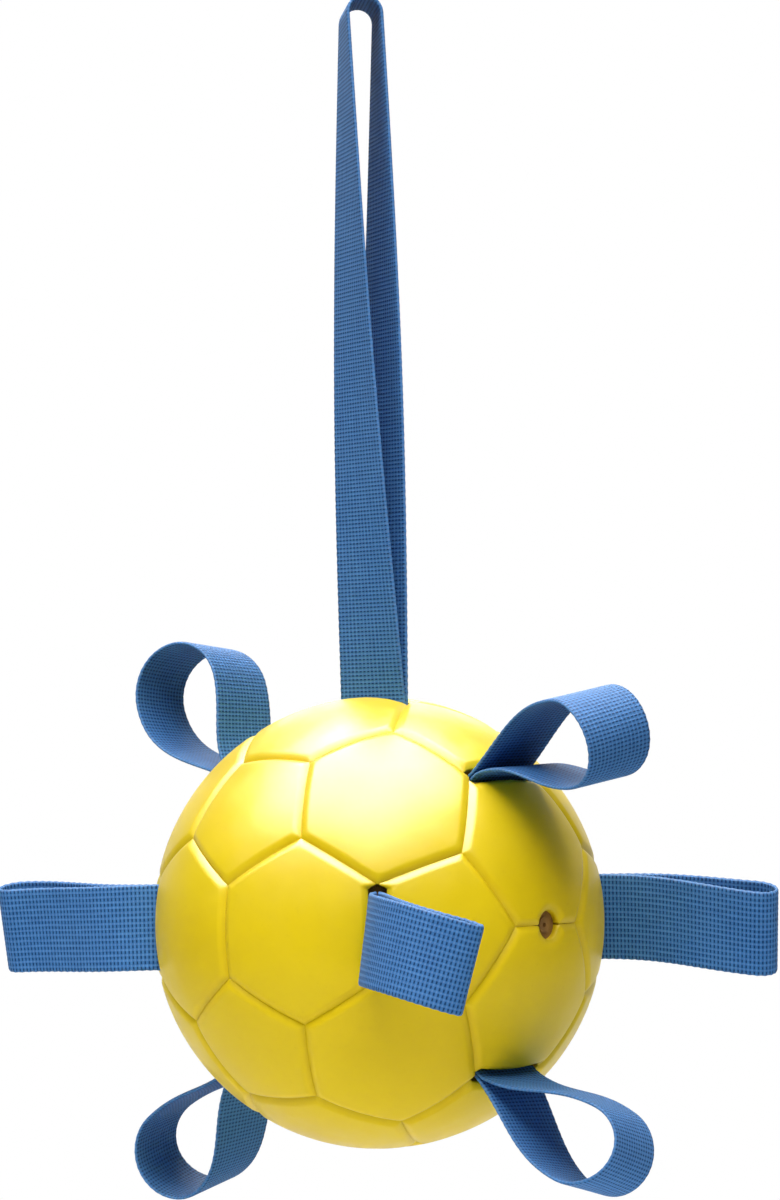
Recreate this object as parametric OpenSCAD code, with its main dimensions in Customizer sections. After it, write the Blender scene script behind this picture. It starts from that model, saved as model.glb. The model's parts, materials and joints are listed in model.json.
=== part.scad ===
// Inflatable dog ball: a sewn cover of 32 panels round a bladder, with webbing loops sewn into its seams.
// The origin is the point under the crown of the hand loop that the ball hangs from. Millimetres, +Z up.

/* [Ball] */
// Diameter over the panels
ball_d = 200; // [180:1:260]
// Thickness of a panel
panel_t = 5; // [4:0.5:8]
// How far a panel's rim is turned in at a seam, past its thickness
rim_turn = 2; // [1:0.5:4]
// Width of the turned-in rim
rim_w = 3; // [2:0.5:5]
// Width of the rolled edge on each side of a seam
seam_roll = 3; // [1.5:0.25:4]
// Radius of that roll
seam_roll_r = 6.5; // [5.5:0.25:10]
// Gap between neighbouring panels
seam_gap = 0.2; // [0.1:0.05:0.6]
// Thickness of the bladder
bladder_t = 1.2; // [0.6:0.1:2]
// Gap between the bladder and the panel rims
bladder_gap = 0.3; // [0.2:0.1:1]

/* [Webbing] */
// Width of the webbing
webbing_w = 38; // [25:1:40]
// Thickness of one layer of webbing
webbing_t = 1.6; // [1:0.1:2]
// Gap between the two layers where they meet in a seam
layer_gap = 0.2; // [0.1:0.05:0.5]
// Thickness of the binding round the two layers in a seam
root_wrap = 0.4; // [0.3:0.05:0.8]
// How far the binding stops short of the webbing's edges
wrap_inset = 0.5; // [0.3:0.1:2]
// Depth of a loop's swing axis below the crest of its seam
root_depth = 1.2; // [0.8:0.1:2]
// Clearance round a loop's root in its seam
root_clear = 0.3; // [0.2:0.05:0.6]
// How far the seam's mouth opens to each side of the swing axis, in degrees
mouth_angle = 60; // [50:1:65]

/* [Hand loop] */
// Reach of the hand loop from its seam to its crown
hand_reach = 311; // [200:1:400]
// Radius of the bend at the crown, to the middle of the webbing
hand_crown_r = 7.5; // [5:0.5:15]
// How far the hand loop has twisted from its seam to its crown, in degrees
hand_twist = 43; // [0:1:60]
// How far the ball has turned from the hand loop's through direction, in degrees
ball_turn = 34; // [0:1:45]

/* [Grab loops around the middle] */
// Reach of the front left loop
front_left_reach = 78; // [50:1:120]
// Radius of its crown
front_left_crown_r = 7; // [5:0.5:15]
// Reach of the front right loop
front_right_reach = 81; // [50:1:120]
// Radius of its crown
front_right_crown_r = 9.5; // [5:0.5:15]
// Reach of the back left loop
back_left_reach = 79; // [50:1:120]
// Radius of its crown
back_left_crown_r = 8.5; // [5:0.5:15]
// Reach of the back right loop
back_right_reach = 80; // [50:1:120]
// Radius of its crown
back_right_crown_r = 8; // [5:0.5:15]

/* [Grab loops above and below the valve] */
// Reach of the front upper loop
front_upper_reach = 75; // [50:1:95]
// Radius of its crown
front_upper_crown_r = 19; // [12:0.5:26]
// Reach of the front lower loop
front_lower_reach = 72; // [50:1:95]
// Radius of its crown
front_lower_crown_r = 18; // [12:0.5:26]
// Reach of the back upper loop
back_upper_reach = 71; // [50:1:95]
// Radius of its crown
back_upper_crown_r = 23; // [12:0.5:26]
// Reach of the back lower loop
back_lower_reach = 75; // [50:1:95]
// Radius of its crown
back_lower_crown_r = 20; // [12:0.5:26]

/* [Valve] */
// Diameter of the hole in the seam
valve_hole_d = 13; // [11:0.5:18]
// Clearance between the valve boss and that hole
valve_clear = 0.3; // [0.2:0.05:0.6]
// Depth of the boss's face below the ball's surface
valve_recess = 4.8; // [3:0.1:6]
// Diameter of the boss's flange inside the bladder
boss_flange_d = 26; // [20:0.5:32]
// Thickness of that flange
boss_flange_t = 2; // [1:0.25:3]
// Diameter of the plug in the boss
plug_d = 7; // [5:0.25:8.5]
// Diameter of the plug's locking head inside the bladder
plug_head_d = 10.5; // [9.5:0.25:14]
// Length of that head
plug_head_t = 4; // [3:0.5:8]
// How far the plug stands proud of the boss
plug_proud = 0.5; // [0:0.1:1.5]
// Diameter of the needle hole
needle_d = 2; // [1.5:0.1:3]
// Depth of the needle hole
needle_depth = 9; // [6:0.5:10]
// Clearance between plug, boss and bladder
valve_fit = 0.1; // [0.05:0.01:0.2]

/* [Hidden] */
$fn = 96;
cover_colour = "#f2d51c";
webbing_colour = "#3d6aa3";
bladder_colour = "#2b2b2b";
valve_colour = "#8a5a22";

// Sizes of the ball that follow from the ones above
ball_r = ball_d / 2;
rim_r = ball_r - panel_t - rim_turn;
bladder_r = rim_r - bladder_gap;

// Directions of the panels: pentagons on the corners of an icosahedron, hexagons on its faces
phi = (1 + sqrt(5)) / 2;
signs = [-1, 1];
function unit(v) = v / norm(v);
function turned(v) = [v, [v[1], v[2], v[0]], [v[2], v[0], v[1]]];
pentagon_dirs = [for (a = signs, b = signs) each turned(unit([0, a, b * phi]))];
hexagon_dirs = concat(
  [for (a = signs, b = signs, c = signs) unit([a, b, c])],
  [for (a = signs, b = signs) each turned(unit([0, a * phi, b / phi]))]);

// Angle on the ball that reaches a panel's neighbours and none past them
near_angle = 45;
function nearest_hexagon(c) = [for (h = hexagon_dirs) if (h != c && h * c > cos(near_angle)) h][0];

// Angles from a panel's middle to the middle of its edges
hexagon_half = atan(1 / pow(phi, 2));
pentagon_half = acos(pentagon_dirs[0] * nearest_hexagon(pentagon_dirs[0])) - hexagon_half;

// Seams that hold a loop, each as the direction of its middle and the direction that it runs in
loop_angle = atan(pow(phi, 2)) - hexagon_half;
function middle_seam(x, y) = [[x * sin(loop_angle), y * cos(loop_angle), 0], [0, 0, 1]];
function valve_side_seam(y, z) = [[0, y * sin(loop_angle), z * cos(loop_angle)], [1, 0, 0]];
hand_seam = [[0, 0, 1], [0, 1, 0]];
valve_dir = [0, -1, 0];

// How each loop has set: seam, reach, crown radius, then in degrees the lean and tilt of its crown,
// the lean and half opening of its legs in the seam, its droop and its twist
hand_shape = [hand_seam, hand_reach, hand_crown_r, 0, 0, 0, 3.5, 0, -hand_twist];
GRAB_LOOPS = [
  ["grab_loop_front_left", middle_seam(-1, -1),
    front_left_reach, front_left_crown_r, -28, -60, 16, 12, -12, -13],
  ["grab_loop_front_right", middle_seam(1, -1),
    front_right_reach, front_right_crown_r, 25, -12, 12, 12, -5, 12],
  ["grab_loop_back_left", middle_seam(-1, 1),
    back_left_reach, back_left_crown_r, 36, -10, 15, 10, 0, -12],
  ["grab_loop_back_right", middle_seam(1, 1),
    back_right_reach, back_right_crown_r, 20, 0, 10, 10, -8, 6],
  ["grab_loop_front_upper", valve_side_seam(-1, 1),
    front_upper_reach, front_upper_crown_r, -27, -10, -9, 11, -8, 10],
  ["grab_loop_front_lower", valve_side_seam(-1, -1),
    front_lower_reach, front_lower_crown_r, 10, 4, 3, 14, 3, -20],
  ["grab_loop_back_upper", valve_side_seam(1, 1),
    back_upper_reach, back_upper_crown_r, -7, -25, 8, 16, -3, 12],
  ["grab_loop_back_lower", valve_side_seam(1, -1),
    back_lower_reach, back_lower_crown_r, 2, -7, -4, 5, -5, -18]];
loop_seams = concat([hand_seam], [for (g = GRAB_LOOPS) g[1]]);

// A loop's root: two layers of webbing side by side in a binding
root_r = webbing_t + layer_gap / 2 + root_wrap;
root_height = ball_r - root_depth;
hang_drop = root_height + hand_reach - webbing_t / 2;

// How far a cut runs past the face that it opens
overshoot = 1;

function panel_name(kind, i) = str(kind, i < 9 ? "_panel_0" : "_panel_", i + 1);
hexagon_names = [for (i = [0 : len(hexagon_dirs) - 1]) panel_name("hexagon", i)];
pentagon_names = [for (i = [0 : len(pentagon_dirs) - 1]) panel_name("pentagon", i)];

// The ball hangs below the origin and is turned under its hand loop
module on_ball() {
  translate([0, 0, -hang_drop])
    rotate([0, 0, ball_turn])
      children();
}

// Puts a shape with its own z along "up" and its x as near to "side" as a right angle allows
module along(up, side) {
  x = unit(side - up * (side * up));
  y = cross(up, x);
  multmatrix([[x[0], y[0], up[0], 0], [x[1], y[1], up[1], 0], [x[2], y[2], up[2], 0], [0, 0, 0, 1]])
    children();
}

// A sphere with its poles clear of the panel that it shapes
module round_of(r) {
  rotate([90, 0, 0])
    sphere(r);
}

// The wedge of space that belongs to a panel, drawn in from its seams by "inset"
module panel_wedge(sides, half, inset) {
  reach = ball_d;
  translate([0, 0, inset / sin(half)])
    rotate([0, 0, 180 / sides])
      cylinder(h = reach, r1 = 0, r2 = reach * tan(half) / cos(180 / sides), $fn = sides);
}

// What is taken off a panel's edge to leave it rolled. The arc meets both faces at a slight angle.
module edge_roll() {
  meet = 14;
  centre = [ball_r - seam_roll_r * cos(meet), seam_roll + seam_roll_r * sin(meet)];
  sweep = 36;
  rotate([0, 0, -sweep / 2])
    rotate_extrude(angle = sweep)
      difference() {
        translate([ball_r - seam_roll, -seam_roll])
          square(2 * seam_roll);
        translate(centre)
          circle(seam_roll_r);
      }
}

// The room that a loop's root and legs need in its seam
module seam_mouth(seam) {
  room_r = root_r + root_clear;
  flank = room_r * [cos(mouth_angle), -sin(mouth_angle)];
  flank_l = (root_depth + overshoot - flank[1]) / cos(mouth_angle);
  rim = flank + flank_l * [sin(mouth_angle), cos(mouth_angle)];
  translate(seam[0] * root_height)
    along(seam[1], cross(seam[0], seam[1]))
      linear_extrude(webbing_w + 2 * root_clear, center = true)
        union() {
          circle(room_r);
          polygon([[0, 0], flank, rim, [-rim[0], rim[1]], [-flank[0], flank[1]]]);
        }
}

// The round hole for the valve, with a rolled mouth
module valve_hole() {
  hole_r = valve_hole_d / 2;
  lip = seam_roll;
  along(valve_dir, [1, 0, 0]) {
    cylinder(h = ball_r - lip, r = hole_r);
    translate([0, 0, ball_r - lip])
      cylinder(h = lip + overshoot, r1 = hole_r, r2 = hole_r + lip + overshoot);
  }
}

// One panel of the cover, from its middle direction
module panel(dir, sides, half) {
  edge_turn = 360 / sides;
  color(cover_colour)
    on_ball()
      difference() {
        along(dir, nearest_hexagon(dir))
          difference() {
            intersection() {
              round_of(ball_r);
              panel_wedge(sides, half, seam_gap / 2);
            }
            round_of(rim_r);
            intersection() {
              round_of(ball_r - panel_t);
              panel_wedge(sides, half, rim_w);
            }
            for (i = [0 : sides - 1])
              rotate([0, 0, i * edge_turn])
                rotate([0, half - 90, 0])
                  edge_roll();
          }
        for (seam = loop_seams)
          if (seam[0] * dir > cos(near_angle))
            seam_mouth(seam);
        if (valve_dir * dir > cos(near_angle))
          valve_hole();
      }
}

module hexagon_panel(i) {
  panel(hexagon_dirs[i], 6, hexagon_half);
}

module pentagon_panel(i) {
  panel(pentagon_dirs[i], 5, pentagon_half);
}

// The middle line of a loop in its own plane, from one leg's root round the crown to the other's
leg_steps = 14;
crown_steps = 12;
leg_bend = 0.4;
function heading(a) = [sin(a), cos(a)];
function beside(a) = [cos(a), -sin(a)];
function curve(a, b, c, d, t) =
  a * pow(1 - t, 3) + b * 3 * t * pow(1 - t, 2) + c * 3 * t * t * (1 - t) + d * pow(t, 3);
function leg_line(foot, foot_heading, top, top_heading) =
  let (pull = leg_bend * norm(top - foot))
  [for (i = [0 : leg_steps])
    curve(foot, foot + pull * foot_heading, top - pull * top_heading, top, i / leg_steps)];
function backwards(list) = [for (i = [len(list) - 1 : -1 : 0]) list[i]];
function loop_line(reach, crown_r, lean, tilt, root, opening) =
  let (
    foot = (webbing_t + layer_gap) / 2 * beside(root),
    middle = (reach - crown_r) * heading(lean),
    out = heading(lean + tilt),
    across = beside(lean + tilt),
    leg_a = leg_line(foot, heading(root + opening), middle + crown_r * across, out),
    leg_b = leg_line(-foot, heading(root - opening), middle - crown_r * across, out),
    crown = [for (i = [1 : crown_steps - 1])
      middle + crown_r * (cos(180 * i / crown_steps) * across + sin(180 * i / crown_steps) * out)])
  concat(leg_a, crown, backwards(leg_b));

// The side that a flat line's webbing faces at one of its points
function facing(line, i) =
  let (last = len(line) - 1, way = unit(line[min(i + 1, last)] - line[max(i - 1, 0)]))
  [way[1], -way[0]];

// A point turned about an axis through the origin
function spin(p, axis, a) =
  p * cos(a) + cross(axis, p) * sin(a) + axis * (axis * p) * (1 - cos(a));

// The four corners of the webbing's section at each point of the line, in the loop's own axes:
// x across the seam, y along it and z out of it. Droop and twist grow from the root to the crown.
function band_points(line, reach, lean, droop, twist) =
  let (axis = [sin(lean), 0, cos(lean)], level = cross(axis, [0, 1, 0]))
  [for (i = [0 : len(line) - 1])
    let (
      p = line[i],
      half = facing(line, i) * webbing_t / 2,
      share = min(max(p * heading(lean) / reach, 0), 1),
      corners = [[p + half, -1], [p + half, 1], [p - half, 1], [p - half, -1]])
    each [for (c = corners)
      spin(spin([c[0][0], c[1] * webbing_w / 2, c[0][1]], axis, twist * share), level, -droop * share)]];

// The band's skin, as triangles whose diagonals run alike on both faces
module webbing_band(line, reach, lean, droop, twist) {
  last = 4 * (len(line) - 1);
  skin = [for (i = [0 : 4 : last - 4], k = [0 : 3])
    let (a = i + k, b = i + (k + 1) % 4, c = b + 4, d = a + 4)
    each k == 2 ? [[d, c, b], [d, b, a]] : [[d, c, a], [c, b, a]]];
  ends = [[0, 1, 2], [0, 2, 3], [last + 2, last + 1, last], [last + 3, last + 2, last]];
  polyhedron(band_points(line, reach, lean, droop, twist), concat(skin, ends), convexity = 4);
}

// A loop of webbing with its round root in the seam, from one row of shape values
module webbing_loop(shape) {
  seam = shape[0];
  line = loop_line(shape[1], shape[2], shape[3], shape[4], shape[5], shape[6]);
  color(webbing_colour)
    on_ball()
      translate(seam[0] * root_height)
        along(seam[0], cross(seam[0], seam[1]))
          union() {
            webbing_band(line, shape[1], shape[3], shape[7], shape[8]);
            rotate([90, 0, 0])
              cylinder(h = webbing_w - 2 * wrap_inset, r = root_r, center = true);
          }
}

module hand_loop() {
  webbing_loop(hand_shape);
}

module grab_loop(i) {
  webbing_loop([for (k = [1 : len(GRAB_LOOPS[i]) - 1]) GRAB_LOOPS[i][k]]);
}

// Sizes of the valve along its axis, from the ball's middle
boss_neck_r = valve_hole_d / 2 - valve_clear;
boss_face = ball_r - valve_recess;
boss_seat = sqrt(pow(bladder_r - bladder_t - valve_fit, 2) - pow(boss_flange_d / 2, 2));
boss_back = boss_seat - boss_flange_t;
plug_face = boss_face + plug_proud;

module bladder() {
  color(bladder_colour)
    on_ball()
      difference() {
        sphere(bladder_r);
        sphere(bladder_r - bladder_t);
        along(valve_dir, [1, 0, 0])
          cylinder(h = ball_r, r = boss_neck_r + valve_fit);
      }
}

module valve_boss() {
  color(valve_colour)
    on_ball()
      along(valve_dir, [1, 0, 0])
        difference() {
          union() {
            translate([0, 0, boss_back])
              cylinder(h = boss_face - boss_back, r = boss_neck_r);
            translate([0, 0, boss_back])
              cylinder(h = boss_flange_t, d = boss_flange_d);
          }
          translate([0, 0, boss_back - overshoot])
            cylinder(h = ball_r, d = plug_d + 2 * valve_fit);
        }
}

module valve_plug() {
  head_top = boss_back - valve_fit;
  color(valve_colour)
    on_ball()
      along(valve_dir, [1, 0, 0])
        difference() {
          union() {
            translate([0, 0, head_top - plug_head_t])
              cylinder(h = plug_face - head_top + plug_head_t, d = plug_d);
            translate([0, 0, head_top - plug_head_t])
              cylinder(h = plug_head_t, d1 = plug_d, d2 = plug_head_d);
          }
          translate([0, 0, plug_face - needle_depth])
            cylinder(h = needle_depth + overshoot, d = needle_d);
        }
}

for (i = [0 : len(hexagon_dirs) - 1])
  hexagon_panel(i);
for (i = [0 : len(pentagon_dirs) - 1])
  pentagon_panel(i);
for (i = [0 : len(GRAB_LOOPS) - 1])
  grab_loop(i);
hand_loop();
bladder();
valve_boss();
valve_plug();
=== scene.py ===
import json
import math
from collections import namedtuple

import bpy
import numpy as np
from mathutils import Matrix, Vector


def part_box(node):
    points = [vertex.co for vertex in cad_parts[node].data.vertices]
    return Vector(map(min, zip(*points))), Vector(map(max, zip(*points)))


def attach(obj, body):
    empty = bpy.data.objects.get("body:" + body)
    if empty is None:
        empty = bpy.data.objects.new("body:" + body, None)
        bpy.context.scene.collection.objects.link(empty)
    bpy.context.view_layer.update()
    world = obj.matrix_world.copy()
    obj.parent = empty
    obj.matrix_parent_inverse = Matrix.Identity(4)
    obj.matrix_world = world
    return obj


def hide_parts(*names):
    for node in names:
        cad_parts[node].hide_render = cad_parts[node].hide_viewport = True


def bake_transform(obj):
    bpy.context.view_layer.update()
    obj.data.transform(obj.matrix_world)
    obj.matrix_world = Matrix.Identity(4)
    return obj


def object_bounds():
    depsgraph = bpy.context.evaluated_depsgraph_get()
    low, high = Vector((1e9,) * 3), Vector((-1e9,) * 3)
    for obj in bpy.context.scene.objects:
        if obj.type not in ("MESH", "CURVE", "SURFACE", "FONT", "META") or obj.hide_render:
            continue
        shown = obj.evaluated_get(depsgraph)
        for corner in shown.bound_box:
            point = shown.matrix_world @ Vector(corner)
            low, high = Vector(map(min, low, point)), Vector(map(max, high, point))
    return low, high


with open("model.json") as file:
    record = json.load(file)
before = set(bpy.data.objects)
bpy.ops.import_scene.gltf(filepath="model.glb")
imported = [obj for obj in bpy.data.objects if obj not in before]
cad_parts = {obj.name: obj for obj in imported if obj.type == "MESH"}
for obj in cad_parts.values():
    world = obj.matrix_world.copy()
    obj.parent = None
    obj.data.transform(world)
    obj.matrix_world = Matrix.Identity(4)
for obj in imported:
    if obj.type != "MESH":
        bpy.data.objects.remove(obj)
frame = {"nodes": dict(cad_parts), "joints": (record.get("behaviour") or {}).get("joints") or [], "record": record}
cad_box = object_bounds()

# Cover, in metres: each panel's edge rolls down into the seam, and its face is slightly crowned
BALL_R = 0.100
PANEL_T = 0.0065
SEAM_GAP = 0.0001
SEAM_ROLL = 0.0036
SEAM_DEPTH = 0.0016
SEAM_CURVE = 1.5
RIM_DROP = 0.0010
PILLOW = 0.0003
PILLOW_REACH = 0.0065

# Slots that the loops come out of
SLOT_HALF = 0.0041
SLOT_LENGTH = 0.0388
SLOT_FADE = 0.0024
SLOT_REACH = 0.0085

# Valve's hole, and two spans as multiples of its radius: the one over which the points moved for it
# ease back to their own places, and the one over which the panels' brown lining begins
VALVE_HOLE_R = 0.0065
VALVE_EASE = (2.1, 2.9)
VALVE_BARE = (1.5, 2.0)

# Webbing
WEBBING_W = 0.038
WEBBING_T = 0.0016
LAYER_GAP = 0.0002
ROOT_TAIL = 0.0045
WEFT_PITCH = 0.00178
RIB_COUNT = 16
RIB_PITCH = WEBBING_W / RIB_COUNT
RIB_RELIEF = 0.00012
EDGE_ROUND = 0.0011
EDGE_THINNING = 0.8
TOOTH = 0.00012
TOOTH_REACH = 24
LEG_PULL = 0.4

# How fine the meshes are
ROLL_RINGS = 9
FACE_RINGS = 15
FACE_SPREAD = 1.35
LINING_RING = ROLL_RINGS + 1
SIDE_POINTS = 40
VALVE_SIDE_POINTS = 200
RIB_COLUMNS = 3
LEG_POINTS = 200
CROWN_POINTS = 120
TAIL_POINTS = 12
FLOOR_POINTS = 96

# How near a panel's middle lies to a valve or loop that cuts it, in degrees, and how far to the
# side of a loop's seam, as a share of the ball's radius
NEAR_VALVE = 30
NEAR_LOOP = 45
BESIDE_SEAM = 0.2

# How each loop has set, in metres and degrees: its reach, the crown's radius, the lean of the whole
# loop, the tilt of its crown, the lean and half opening at its root, the droop and the twist. A loop
# may also be slid along its seam, lean more at one edge than the other, and have a longer fold.
Loop = namedtuple("Loop", "reach crown_r lean tilt root_lean opening droop twist slid root_turn fold",
                  defaults=(0.0, 0.0, None))
LOOPS = {
    "hand": Loop(0.311, 0.0075, 0, 0, 0, 3.5, 0, -43),
    "front_left": Loop(0.078, 0.0038, -28, -66, 11, 12, -8.4, -13, slid=0.0022, root_turn=7.0, fold=0.009),
    "front_right": Loop(0.081, 0.0095, 25, -12, 12, 12, -5, 12),
    "back_left": Loop(0.079, 0.0085, 36, -10, 15, 10, 0, -12),
    "back_right": Loop(0.080, 0.008, 20, 0, 10, 10, -8, 6),
    "front_upper": Loop(0.075, 0.019, -27, -10, -9, 11, -8, 10),
    "front_lower": Loop(0.072, 0.018, 10, 4, 3, 14, 3, -20),
    "back_upper": Loop(0.071, 0.023, -7, -25, 8, 16, -3, 12),
    "back_lower": Loop(0.075, 0.020, 2, -7, -4, 5, -5, -18),
}

# Stage: the floor shows its shadow near the ball and fades to white at its rim
WHITE = (1, 1, 1, 1)
FLOOR_GREY = (0.86, 0.86, 0.86, 1)
FLOOR_R = 0.62
FLOOR_DROP = 0.06
FLOOR_FADE = (0.30, 0.95 * FLOOR_R)

# World: light on the object, and how bright the room in front of the white backdrop looks in gloss.
# The room ends and the backdrop begins at these cosines from the camera's side.
AMBIENT = 0.09
ROOM = 0.15
ROOM_ENDS = -0.35
BACKDROP_BEGINS = -0.8

# Lamps: way from the ball as azimuth from the camera and elevation, distance, size, power and
# whether it serves all rays or only shows in gloss
LAMPS = {
    "top_softbox": (26, 77, 2.8, 1.3, 46.0, "all"),
    "front_softbox": (0, 48, 2.8, 1.2, 41.0, "all"),
    "back_softbox": (180, 30, 2.8, 1.3, 22.0, "all"),
    "left_softbox": (-50, 42, 2.8, 1.2, 22.0, "all"),
    "top_gloss": (-45, 83, 3.0, 4.0, 1900.0, "gloss"),
}

# Camera, with the photo's size and the pixel of the ball's middle in it
CAMERA_AZIMUTH = -14.0
CAMERA_ELEVATION = 2.4
CAMERA_ROLL = -1.15
CAMERA_DISTANCE = 2.0
LENS = 134.94
SENSOR = 36.0
PHOTO_W, PHOTO_H = 780, 1200
BALL_PIXEL = (378.8, 921.8)

# What follows from the frame
low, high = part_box("bladder")
BALL_MID = (np.array(low) + np.array(high)) / 2
MOUNTS = {m["name"]: m for m in frame["record"]["mounts"]}
JOINTS = {j["name"]: j for j in frame["joints"]}
VALVE_DIR = np.array(MOUNTS["valve_needle"]["axis"])
BALL_TURN = math.atan2(VALVE_DIR[1], VALVE_DIR[0]) + math.pi / 2


# Small helpers
def unit(v):
    v = np.asarray(v, float)
    return v / np.linalg.norm(v, axis=-1, keepdims=True)


def smooth(edge_a, edge_b, x):
    t = np.clip((x - edge_a) / (edge_b - edge_a), 0, 1)
    return t * t * (3 - 2 * t)


def on_ball(v):
    """Directions turned from the cover's own pattern to the frame."""
    c, s = math.cos(BALL_TURN), math.sin(BALL_TURN)
    v = np.asarray(v, float)
    return np.stack([v[..., 0] * c - v[..., 1] * s, v[..., 0] * s + v[..., 1] * c, v[..., 2]], -1)


def spin(p, axis, angle):
    """Points turned about an axis through the origin, each by its own angle in degrees."""
    a = np.radians(angle)[..., None]
    axis = np.asarray(axis, float)
    return p * np.cos(a) + np.cross(axis, p) * np.sin(a) + axis * (p @ axis)[..., None] * (1 - np.cos(a))


def way_from(azimuth, elevation):
    """The direction of a place seen from the ball, with azimuth 0 at the frame's front."""
    a, e = math.radians(azimuth), math.radians(elevation)
    return Vector((math.sin(a) * math.cos(e), -math.cos(a) * math.cos(e), math.sin(e)))


def add_object(name, data):
    item = bpy.data.objects.new(name, data)
    bpy.context.scene.collection.objects.link(item)
    return item


def make_mesh(name, points, faces, material, attributes=None):
    mesh = bpy.data.meshes.new(name)
    mesh.from_pydata([tuple(p) for p in points], [], [tuple(f) for f in faces])
    for key, values in (attributes or {}).items():
        layer = mesh.attributes.new(key, "FLOAT", "POINT")
        layer.data.foreach_set("value", np.asarray(values, np.float32))
    mesh.polygons.foreach_set("use_smooth", [True] * len(mesh.polygons))
    mesh.materials.append(material)
    mesh.update()
    return add_object(name, mesh)


def ring_faces(rings, count):
    """Quads between each closed ring of points and the next."""
    faces = []
    for r in range(rings - 1):
        for i in range(count):
            a, b = r * count + i, r * count + (i + 1) % count
            faces.append((a, b, b + count, a + count))
    return faces


# Node helpers
class Nodes:
    """Short ways to add nodes to a tree and to join them."""

    def __init__(self, tree):
        self.tree = tree

    def add(self, kind, **settings):
        node = self.tree.nodes.new("ShaderNode" + kind)
        for key, value in settings.items():
            setattr(node, key, value)
        return node

    def put(self, socket, value):
        if isinstance(value, bpy.types.NodeSocket):
            self.tree.links.new(value, socket)
        else:
            socket.default_value = value

    def math(self, operation, *values):
        node = self.add("Math", operation=operation)
        for socket, value in zip(node.inputs, values):
            self.put(socket, value)
        return node.outputs[0]

    def times(self, *values):
        result = values[0]
        for value in values[1:]:
            result = self.math("MULTIPLY", result, value)
        return result

    def wave(self, value, pitch):
        return self.math("COSINE", self.times(value, 2 * math.pi / pitch))

    def attribute(self, name):
        return self.add("Attribute", attribute_name=name).outputs["Fac"]

    def place(self):
        return self.add("TexCoord").outputs["Object"]

    def noise(self, scale, detail=2.0, roughness=0.5, vector=None):
        node = self.add("TexNoise")
        node.inputs["Scale"].default_value = scale
        node.inputs["Detail"].default_value = detail
        node.inputs["Roughness"].default_value = roughness
        self.put(node.inputs["Vector"], vector or self.place())
        return node.outputs["Fac"]

    def span(self, value, start, end, at_start=0.0, at_end=1.0):
        """A smooth step from one value to another while the input goes from start to end."""
        node = self.add("MapRange", interpolation_type="SMOOTHSTEP")
        self.put(node.inputs["Value"], value)
        self.put(node.inputs["From Min"], start)
        self.put(node.inputs["From Max"], end)
        self.put(node.inputs["To Min"], at_start)
        self.put(node.inputs["To Max"], at_end)
        return node.outputs["Result"]

    def mix(self, share, a, b):
        node = self.add("Mix", data_type="RGBA")
        for socket, value in ((node.inputs[0], share), (node.inputs[6], a), (node.inputs[7], b)):
            self.put(socket, value)
        return node.outputs[2]

    def bump(self, height, distance, strength, normal=None):
        node = self.add("Bump")
        node.inputs["Strength"].default_value = strength
        node.inputs["Distance"].default_value = distance
        self.put(node.inputs["Height"], height)
        if normal:
            self.put(node.inputs["Normal"], normal)
        return node.outputs["Normal"]

    def mirrored(self, path):
        return self.math("MAXIMUM", path.outputs["Is Glossy Ray"], path.outputs["Is Transmission Ray"])


class Finish(Nodes):
    """A material whose surface is set by the names of its sockets."""

    def __init__(self, name):
        self.material = bpy.data.materials.new(name)
        self.material.use_nodes = True
        super().__init__(self.material.node_tree)
        self.surface = self.tree.nodes["Principled BSDF"]

    def set(self, **values):
        for key, value in values.items():
            self.put(self.surface.inputs[key.replace("_", " ")], value)
        return self.material


# Where most values of a noise texture lie
NOISE_RANGE = (0.3, 0.7)

# Cover: yellow PVC with a fine grain, painted shade in the seam grooves, and brown where its edges turn in at a
# slot
COVER_DEEP = (0.80, 0.575, 0.003, 1)
COVER_LIGHT = (0.86, 0.635, 0.005, 1)
COVER_SPECK = (0.62, 0.41, 0.004, 1)
# painted shade in the seam grooves
COVER_SEAM_SHADE = (0.50, 0.36, 0.003, 1)
COVER_LINING = (0.38, 0.21, 0.015, 1)
SPECK_RANGE = (0.62, 0.78)
SPECK_SHARE = 0.10
SEAM_SHADE_RANGE = (0.3, 1.0)
SEAM_SHADE_SHARE = 0.30
LINING_RANGE = (0.7, 1.0)


def cover_material():
    pvc = Finish("cover_pvc")
    cloud = pvc.noise(scale=14, detail=3)
    speck = pvc.noise(scale=420)
    body = pvc.mix(pvc.span(cloud, *NOISE_RANGE), COVER_DEEP, COVER_LIGHT)
    body = pvc.mix(pvc.span(speck, *SPECK_RANGE, at_end=SPECK_SHARE), body, COVER_SPECK)
    # painted shade: the cover darkens the deeper a point lies in a seam's groove
    body = pvc.mix(pvc.span(pvc.attribute("seam"), *SEAM_SHADE_RANGE, at_end=SEAM_SHADE_SHARE), body, COVER_SEAM_SHADE)
    body = pvc.mix(pvc.span(pvc.attribute("lining"), *LINING_RANGE), body, COVER_LINING)
    grain = pvc.bump(pvc.noise(scale=1500, detail=3, roughness=0.6), distance=0.00006, strength=0.5)
    ripple = pvc.bump(pvc.noise(scale=60), distance=0.0006, strength=0.35, normal=grain)
    rough = pvc.span(pvc.noise(scale=90, detail=4), *NOISE_RANGE, at_start=0.34, at_end=0.42)
    return pvc.set(Base_Color=body, Roughness=rough, Normal=ripple, Specular_IOR_Level=0.2)
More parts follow.
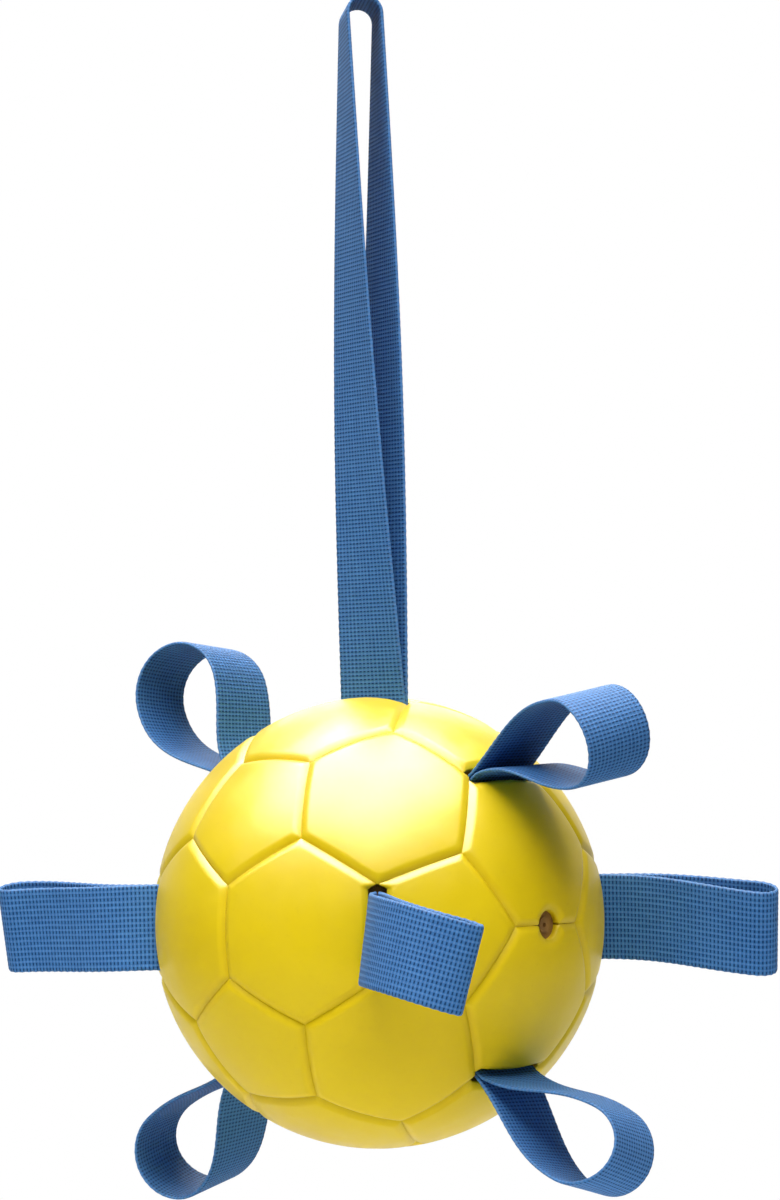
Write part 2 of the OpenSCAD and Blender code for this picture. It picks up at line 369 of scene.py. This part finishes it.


# Webbing: streaked blue yarn with a painted highlight on its crests and painted shade in its pits,
# and a stitched selvedge. Each mark grows from the first to the second value of the wave along or
# across the strap.
YARN_DEEP = (0.042, 0.168, 0.440, 1)
YARN_LIGHT = (0.062, 0.224, 0.540, 1)
YARN_CLOUD = (0.078, 0.236, 0.520, 1)
# painted highlight on the yarn's crests
YARN_CREST_HIGHLIGHT = (0.17, 0.33, 0.62, 1)
# painted shade in the weave's pits
YARN_PIT_SHADE = (0.006, 0.022, 0.080, 1)
YARN_STITCH = (0.12, 0.24, 0.46, 1)
YARN_SHEEN = (0.6, 0.78, 1.0, 1)
PIT_ALONG = (0.35, -0.95)
PIT_ACROSS = (0.9, -0.5)
CREST_ALONG = (-0.3, 0.9)
CREST_ACROSS = (-0.2, 0.9)
STITCH_ALONG = (-0.2, 0.6)
STITCH_PITCH = 2 * WEFT_PITCH
SELVEDGE = (WEBBING_W / 2 - 0.0014, WEBBING_W / 2 - 0.0006)
STREAKS_ALONG = 90.0
STREAKS_ACROSS = 900.0
CLOUD_RANGE = (0.35, 0.65)

# How much each mark colours the yarn, the crests with a painted highlight and the pits with painted
# shade, and how far yarn and crests rise for a pit of depth 1
CLOUD_SHARE = 0.22
CREST_HIGHLIGHT_SHARE = 0.35
PIT_SHADE_SHARE = 0.82
STITCH_SHARE = 0.4
YARN_RISE = 0.18
CREST_RISE = 0.4


def webbing_material():
    cloth = Finish("webbing_polyester")
    along = cloth.attribute("weave_along")
    across = cloth.attribute("weave_across")
    weft = cloth.wave(along, WEFT_PITCH)
    rib = cloth.wave(across, RIB_PITCH)
    pit = cloth.times(cloth.span(weft, *PIT_ALONG), cloth.span(rib, *PIT_ACROSS))
    crest = cloth.times(cloth.span(weft, *CREST_ALONG), cloth.span(rib, *CREST_ACROSS))
    selvedge = cloth.span(cloth.math("ABSOLUTE", across), *SELVEDGE)
    stitch = cloth.span(cloth.wave(along, STITCH_PITCH), *STITCH_ALONG)
    streaks = cloth.add("CombineXYZ")
    cloth.put(streaks.inputs[0], cloth.times(along, STREAKS_ALONG))
    cloth.put(streaks.inputs[1], cloth.times(across, STREAKS_ACROSS))
    yarn = cloth.noise(scale=1.0, detail=3, roughness=0.6, vector=streaks.outputs[0])
    cloud = cloth.noise(scale=40, detail=3)
    body = cloth.mix(cloth.span(yarn, *NOISE_RANGE), YARN_DEEP, YARN_LIGHT)
    body = cloth.mix(cloth.span(cloud, *CLOUD_RANGE, at_end=CLOUD_SHARE), body, YARN_CLOUD)
    # painted highlight on the crests
    body = cloth.mix(cloth.times(crest, CREST_HIGHLIGHT_SHARE), body, YARN_CREST_HIGHLIGHT)
    # painted shade in the pits
    body = cloth.mix(cloth.times(pit, PIT_SHADE_SHARE), body, YARN_PIT_SHADE)
    body = cloth.mix(cloth.times(selvedge, stitch, STITCH_SHARE), body, YARN_STITCH)
    raised = cloth.math("ADD", cloth.times(yarn, YARN_RISE), cloth.times(crest, CREST_RISE))
    weave = cloth.bump(cloth.math("SUBTRACT", raised, pit), distance=0.00025, strength=0.7)
    return cloth.set(Base_Color=body, Roughness=0.62, Normal=weave, Specular_IOR_Level=0.06,
                     Sheen_Weight=0.06, Sheen_Roughness=0.45, Sheen_Tint=YARN_SHEEN)


# Valve and bladder: brown rubber
VALVE_DEEP = (0.20, 0.095, 0.018, 1)
VALVE_LIGHT = (0.32, 0.16, 0.03, 1)
BLADDER_DEEP = (0.28, 0.15, 0.018, 1)
BLADDER_LIGHT = (0.38, 0.21, 0.028, 1)


def rubber_material(name, deep, light):
    rubber = Finish(name)
    body = rubber.mix(rubber.span(rubber.noise(scale=260, detail=3), *NOISE_RANGE), deep, light)
    grain = rubber.bump(rubber.noise(scale=1400), distance=0.0001, strength=0.5)
    rough = rubber.span(rubber.noise(scale=500), *NOISE_RANGE, at_start=0.5, at_end=0.66)
    return rubber.set(Base_Color=body, Roughness=rough, Normal=grain)


COVER = cover_material()
WEBBING = webbing_material()
VALVE = rubber_material("valve_rubber", VALVE_DEEP, VALVE_LIGHT)
BLADDER = rubber_material("bladder_rubber", BLADDER_DEEP, BLADDER_LIGHT)

# The pattern of the cover: pentagons on the corners of an icosahedron, hexagons on its faces
PHI = (1 + math.sqrt(5)) / 2
SIGNS = (-1, 1)


def turned(x, y, z):
    return [(x, y, z), (y, z, x), (z, x, y)]


PENTAGON_DIRS = on_ball(unit([d for a in SIGNS for b in SIGNS for d in turned(0, a, b * PHI)]))
HEXAGON_DIRS = on_ball(unit(
    [(a, b, c) for a in SIGNS for b in SIGNS for c in SIGNS]
    + [d for a in SIGNS for b in SIGNS for d in turned(0, a * PHI, b / PHI)]))
HEXAGON_HALF = math.atan(1 / PHI**2)
PENTAGON_HALF = math.acos(np.max(HEXAGON_DIRS @ PENTAGON_DIRS[0])) - HEXAGON_HALF


# The seams that hold a loop: middle of the root, way out of the ball and way along the seam
def loop_seam(name):
    joint = JOINTS["ball_swing" if name == "hand" else name + "_swing"]
    root = np.array(joint["pos_m"])
    out = unit(root - BALL_MID)
    along = np.array(joint["axis"]) * (1 if name == "hand" else -1)
    return root, out, along


SEAMS = {name: loop_seam(name) for name in LOOPS}


# Cover panels
def softest(distances, power=4, least=1e-6):
    """A rounded least of several distances."""
    d = np.maximum(np.stack(distances), least)
    return np.sum(d ** -power, 0) ** (-1 / power)


def panel_grid(direction, sides, half, side_points):
    """A panel's points as directions, in rings from edge to middle, and its sides' inward normals."""
    # the first side faces the nearest hexagon, and a hexagon's own direction is the first in its list
    nearest = HEXAGON_DIRS[np.argsort(-(HEXAGON_DIRS @ direction))[1 if sides == 6 else 0]]
    x_dir = unit(nearest - direction * (nearest @ direction))
    axes = np.stack([x_dir, np.cross(direction, x_dir), direction])
    roll_steps = SEAM_ROLL * (1 - np.cos(np.linspace(0, math.pi / 2, ROLL_RINGS)))
    face_shares = np.linspace(0, 1, FACE_RINGS + 2)[1:-1] ** FACE_SPREAD
    face_steps = SEAM_ROLL + (half * BALL_R - SEAM_ROLL) * face_shares
    turns = np.arange(sides) * 2 * math.pi / sides
    along_side = np.linspace(-1, 1, side_points, endpoint=False)
    rows = []
    for step in np.concatenate([roll_steps, face_steps]) + SEAM_GAP / 2:
        r = math.tan(half - step / BALL_R)
        side = r * math.tan(math.pi / sides) * along_side
        for t in turns:
            x = r * math.cos(t) - side * math.sin(t)
            y = r * math.sin(t) + side * math.cos(t)
            rows.append(np.stack([x, y, np.ones(side_points)], -1))
    middle = np.array([[0.0, 0.0, 1.0]])
    way = unit(np.concatenate(rows + [middle])) @ axes
    lean = math.cos(half)
    normals = np.stack([-lean * np.cos(turns), -lean * np.sin(turns), np.full(sides, math.sin(half))], -1)
    return way, normals @ axes


def valve_shift(x, y, least=1e-7):
    """Moves points of a half plane, seam along x, clear of a round hole at its origin."""
    zeta = x + 1j * np.maximum(y, least)
    a = VALVE_HOLE_R
    root = np.sqrt(zeta - 2 * a) * np.sqrt(zeta + 2 * a)
    moved = (zeta + root) / 2
    share = 1 - smooth(VALVE_EASE[0] * a, VALVE_EASE[1] * a, np.abs(zeta))
    moved = zeta + (moved - zeta) * share
    return moved.real, moved.imag


def cut_valve_hole(way, direction):
    """The panel's points moved clear of the valve's hole, and how far they lie from the cut edge."""
    along = unit(np.cross(VALVE_DIR, (0, 0, 1)))
    inward = unit(direction - VALVE_DIR * (direction @ VALVE_DIR))
    flat = way / (way @ VALVE_DIR)[:, None] * BALL_R
    x, y = valve_shift(flat @ along, flat @ inward)
    way = unit(VALVE_DIR * BALL_R + x[:, None] * along + y[:, None] * inward)
    from_seam = np.where(np.abs(x) > VALVE_HOLE_R, y, np.inf)
    from_hole = np.maximum(np.hypot(x, y) - VALVE_HOLE_R, 0)
    return way, np.minimum(from_seam, from_hole) + SEAM_GAP / 2


def open_slots(way, direction):
    """The panel's points pushed back from the slot of each loop that comes out along its edge."""
    for name, (root, out, along) in SEAMS.items():
        aside = np.cross(out, along)
        side = direction @ aside
        if out @ direction < math.cos(math.radians(NEAR_LOOP)) or abs(side) < BESIDE_SEAM:
            continue
        aside = aside * np.sign(side)
        point = way * BALL_R
        x = np.maximum(point @ aside, 0)
        y = np.abs(point @ along + LOOPS[name].slid / 2)
        window = 1 - smooth(SLOT_LENGTH / 2, SLOT_LENGTH / 2 + SLOT_FADE, y)
        push = SLOT_HALF * window * np.exp(-(x / SLOT_REACH) ** 2)
        way = unit(point + aside * push[:, None])
    return way


def cover_panel(node, direction, sides, half):
    by_valve = direction @ VALVE_DIR > math.cos(math.radians(NEAR_VALVE))
    side_points = VALVE_SIDE_POINTS if by_valve else SIDE_POINTS
    way, normals = panel_grid(direction, sides, half, side_points)
    distances = [BALL_R * np.arcsin(np.clip(way @ normal, 0, 1)) for normal in normals]
    if by_valve:
        valve_side = int(np.argmin(np.abs(normals @ VALVE_DIR)))
        way, distances[valve_side] = cut_valve_hole(way, direction)
    from_edge = softest(distances)
    from_edge[-1] = half * BALL_R
    roll = SEAM_DEPTH * np.clip(1 - from_edge / SEAM_ROLL, 0, 1) ** SEAM_CURVE
    depth = roll + PILLOW * np.exp(-from_edge / PILLOW_REACH)
    way = open_slots(way, direction)
    # the outer face, with a turned-in rim and an inner face that close the shell
    count = sides * side_points
    face = BALL_MID + way * (BALL_R - depth)[:, None]
    rim_top = BALL_MID + way[:count] * (BALL_R - SEAM_DEPTH - PILLOW - RIM_DROP)
    rim_foot = BALL_MID + way[:count] * (BALL_R - PANEL_T)
    inner = BALL_MID + way[count * LINING_RING:count * (LINING_RING + 1)] * (BALL_R - PANEL_T)
    back = BALL_MID + direction[None] * (BALL_R - PANEL_T)
    points = np.concatenate([inner, rim_foot, rim_top, face, back])
    rings = (len(points) - 2) // count
    middle = rings * count
    last = middle - count
    faces = ring_faces(rings, count)
    faces += [(last + i, last + (i + 1) % count, middle) for i in range(count)]
    faces += [((i + 1) % count, i, middle + 1) for i in range(count)]
    # inner, rim_foot and rim_top lie out of sight
    hidden = 3 * count
    # how deep each point lies in its seam's groove, which sets the painted shade there
    seam = np.concatenate([np.ones(hidden), np.clip(depth / (SEAM_DEPTH + PILLOW), 0, 1), [0.0]])
    lining = np.concatenate([np.ones(hidden), np.zeros(len(points) - hidden)])
    from_valve = np.linalg.norm(points - BALL_MID - VALVE_DIR * BALL_R, axis=1)
    lining *= smooth(VALVE_BARE[0] * VALVE_HOLE_R, VALVE_BARE[1] * VALVE_HOLE_R, from_valve)
    name = "cover_" + node.replace("_panel", "")
    return make_mesh(name, points, faces, COVER, {"seam": seam, "lining": lining})


def cover_pieces():
    for kind, dirs, sides, half in (("hexagon", HEXAGON_DIRS, 6, HEXAGON_HALF),
                                    ("pentagon", PENTAGON_DIRS, 5, PENTAGON_HALF)):
        for i, direction in enumerate(dirs):
            node = f"{kind}_panel_{i + 1:02d}"
            panel = cover_panel(node, direction, sides, half)
            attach(panel, "ball")
            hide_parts(node)


# Webbing loops
def heading(angle):
    """The way out of the seam, leant by an angle, in a loop's own plane."""
    return np.array([math.sin(math.radians(angle)), math.cos(math.radians(angle))])


def beside(angle):
    return np.array([math.cos(math.radians(angle)), -math.sin(math.radians(angle))])


def curve(a, b, c, d, t):
    t = t[:, None]
    return a * (1 - t) ** 3 + b * 3 * t * (1 - t) ** 2 + c * 3 * t * t * (1 - t) + d * t**3


def loop_line(loop, root_lean):
    """A loop's middle line in its own plane, from one leg's tail in the seam round to the other's."""
    fold = loop.fold or loop.crown_r
    foot = (WEBBING_T + LAYER_GAP) / 2 * beside(root_lean)
    out, across = heading(loop.lean + loop.tilt), beside(loop.lean + loop.tilt)
    middle = (loop.reach - loop.crown_r) * heading(loop.lean) - (fold - loop.crown_r) * out
    t = np.linspace(0, 1, LEG_POINTS)

    def leg(side):
        start = side * foot
        top = middle + side * loop.crown_r * across
        pull = LEG_PULL * np.linalg.norm(top - start)
        rise = pull * heading(root_lean + side * loop.opening)
        return curve(start, start + rise, top - pull * out, top, t)

    bend = np.radians(np.linspace(0, 180, CROWN_POINTS)[1:-1])[:, None]
    crown = middle + loop.crown_r * np.cos(bend) * across + fold * np.sin(bend) * out
    tail = np.linspace(ROOT_TAIL, 0, TAIL_POINTS, endpoint=False)[:, None] * np.array([0, -1])
    return np.concatenate([foot + tail, leg(1), crown, leg(-1)[::-1], (-foot + tail)[::-1]])


def run_of(line):
    return np.concatenate([[0], np.cumsum(np.linalg.norm(np.diff(line, axis=0), axis=1))])


def respaced(line, count):
    """The same line with points evenly spaced along it."""
    run = run_of(line)
    at = np.linspace(0, run[-1], count)
    return np.stack([np.interp(at, run, line[:, k]) for k in (0, 1)], -1)


def webbing_loop(name):
    """A strap along its loop's line, with rounded edges, ribs and teeth along the selvedge."""
    loop = LOOPS[name]
    length = run_of(loop_line(loop, loop.root_lean))[-1]
    rows = int(round(length / WEFT_PITCH)) + 1
    columns = RIB_COLUMNS * RIB_COUNT + 1
    shares = np.linspace(-1, 1, columns)
    # one line for each column, because the root may lean more at one edge
    lines = [respaced(loop_line(loop, loop.root_lean + loop.root_turn * place), rows) for place in shares]
    line = np.stack(lines + lines[::-1], 1)
    way = unit(np.gradient(line, axis=0))
    facing = np.stack([way[..., 1], -way[..., 0]], -1)
    # the section: half thickness and place across the width, there and back
    across = shares * WEBBING_W / 2
    near_edge = np.clip((np.abs(across) - (WEBBING_W / 2 - EDGE_ROUND)) / EDGE_ROUND, 0, 1)
    ribs = RIB_RELIEF * (1 - np.cos(2 * math.pi * across / RIB_PITCH)) / 2 * (1 - near_edge)
    half_thick = WEBBING_T / 2 * np.sqrt(1 - EDGE_THINNING * near_edge**2) - ribs
    out_or_in = np.where(np.arange(rows) % 2, 1, -1)[:, None]
    teeth = TOOTH * out_or_in * np.abs(shares) ** TOOTH_REACH
    across_rows = across + np.sign(across) * (teeth - TOOTH)
    section = np.concatenate([across_rows, across_rows[:, ::-1]], 1)
    lift = np.concatenate([half_thick, -half_thick[::-1]])
    flat = line + facing * lift[None, :, None]
    points = np.stack([flat[..., 0], section, flat[..., 1]], -1)
    # twist and droop grow towards the crown
    lean_x, lean_z = heading(loop.lean)
    axis = np.array([lean_x, 0, lean_z])
    level = np.cross(axis, (0, 1, 0))
    share = np.clip(line @ heading(loop.lean) / loop.reach, 0, 1)
    points = spin(spin(points, axis, loop.twist * share), level, -loop.droop * share)
    root, out, along = SEAMS[name]
    points = root - along * loop.slid + points @ np.stack([np.cross(out, along), -along, out])
    ring = 2 * columns
    faces = [f[::-1] for f in ring_faces(rows, ring)]
    faces.append(tuple(range(ring)))
    faces.append(tuple(range(rows * ring - 1, (rows - 1) * ring - 1, -1)))
    runs = np.linspace(0, length, rows)
    there_and_back = np.concatenate([across, across[::-1]])
    weave = {"weave_along": np.repeat(runs, ring), "weave_across": np.tile(there_and_back, rows)}
    return make_mesh("webbing_" + name, points.reshape(-1, 3), faces, WEBBING, weave), length


def webbing_pieces():
    for name in LOOPS:
        strap, length = webbing_loop(name)
        root, out, along = SEAMS[name]
        if name == "hand":
            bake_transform(strap)
            node = "hand_loop"
        else:
            node = "grab_loop_" + name
            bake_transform(strap)
        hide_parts(node)


# Valve and bladder keep their solids
def valve_and_bladder():
    for node, material in (("valve_boss", VALVE), ("valve_plug", VALVE), ("bladder", BLADDER)):
        mesh = frame["nodes"][node].data
        mesh.materials.clear()
        mesh.materials.append(material)


# Stage, light and camera
def floor_material():
    """A pale floor that keeps the shadow, and is white at its rim and in gloss."""
    floor = Finish("floor_white")
    path = floor.add("LightPath")
    glow = floor.add("Emission")
    glow.inputs["Color"].default_value = WHITE
    far = floor.add("VectorMath", operation="LENGTH")
    floor.put(far.inputs[0], floor.place())
    rim = floor.span(far.outputs["Value"], *FLOOR_FADE)
    seen_rim = floor.times(rim, path.outputs["Is Camera Ray"])
    blend = floor.add("MixShader")
    floor.put(blend.inputs[0], floor.math("MAXIMUM", seen_rim, floor.mirrored(path)))
    floor.put(blend.inputs[1], floor.surface.outputs[0])
    floor.put(blend.inputs[2], glow.outputs[0])
    floor.put(floor.tree.nodes["Material Output"].inputs["Surface"], blend.outputs[0])
    return floor.set(Base_Color=FLOOR_GREY, Roughness=0.8, Specular_IOR_Level=0.0)


def stage():
    turn = np.linspace(0, 2 * math.pi, FLOOR_POINTS, endpoint=False)
    rim = np.stack([np.cos(turn), np.sin(turn), np.zeros(FLOOR_POINTS)], -1) * FLOOR_R
    floor = make_mesh("floor", rim, [tuple(range(FLOOR_POINTS))], floor_material())
    floor.location = (0, 0, cad_box[0][2] - FLOOR_DROP)


def world_light():
    """White to the camera, a white backdrop behind the ball in gloss, and plain light on the object."""
    world = bpy.data.worlds.new("studio")
    world.use_nodes = True
    bpy.context.scene.world = world
    studio = Nodes(world.node_tree)
    path = studio.add("LightPath")
    seen = studio.math("MAXIMUM", path.outputs["Is Camera Ray"], studio.mirrored(path))
    toward_camera = studio.add("VectorMath", operation="DOT_PRODUCT")
    studio.put(toward_camera.inputs[0], studio.add("TexCoord").outputs["Generated"])
    studio.put(toward_camera.inputs[1], way_from(CAMERA_AZIMUTH, 0))
    backdrop = studio.span(toward_camera.outputs["Value"], ROOM_ENDS, BACKDROP_BEGINS, at_start=ROOM)
    shown = studio.math("MAXIMUM", path.outputs["Is Camera Ray"], backdrop)
    sky = studio.tree.nodes["Background"]
    studio.put(sky.inputs["Color"], WHITE)
    studio.put(sky.inputs["Strength"], studio.span(seen, 0.0, 1.0, at_start=AMBIENT, at_end=shown))


def lamps():
    for name, (azimuth, elevation, distance, size, power, rays) in LAMPS.items():
        data = bpy.data.lights.new(name, "AREA")
        data.shape = "SQUARE"
        data.size = size
        data.energy = power
        lamp = add_object(name, data)
        lamp.visible_camera = False
        lamp.visible_diffuse = rays == "all"
        way = way_from(CAMERA_AZIMUTH + azimuth, elevation)
        lamp.location = Vector(BALL_MID) + way * distance
        lamp.rotation_euler = way.to_track_quat("Z", "Y").to_euler()


def camera():
    """A camera that puts the ball's middle on its pixel, with no shift."""
    back = way_from(CAMERA_AZIMUTH, CAMERA_ELEVATION)
    right = way_from(CAMERA_AZIMUTH + 90, 0)
    level = Matrix((right, back.cross(right), back)).transposed()
    focal = LENS / SENSOR * PHOTO_H
    aim = Vector((BALL_PIXEL[0] - PHOTO_W / 2, PHOTO_H / 2 - BALL_PIXEL[1], -focal))
    swing = Vector((0, 0, -1)).rotation_difference(aim).to_matrix()
    roll = Matrix.Rotation(math.radians(CAMERA_ROLL), 3, "Z")
    data = bpy.data.cameras.new("camera")
    data.sensor_fit = "VERTICAL"
    data.sensor_height = SENSOR
    data.lens = LENS
    eye = add_object("camera", data)
    place = Matrix.Translation(Vector(BALL_MID) + back * CAMERA_DISTANCE)
    eye.matrix_world = place @ (level @ roll @ swing.inverted()).to_4x4()
    bpy.context.scene.camera = eye


cover_pieces()
webbing_pieces()
valve_and_bladder()
stage()
world_light()
lamps()
camera()
bpy.context.scene.view_settings.view_transform = "Standard"
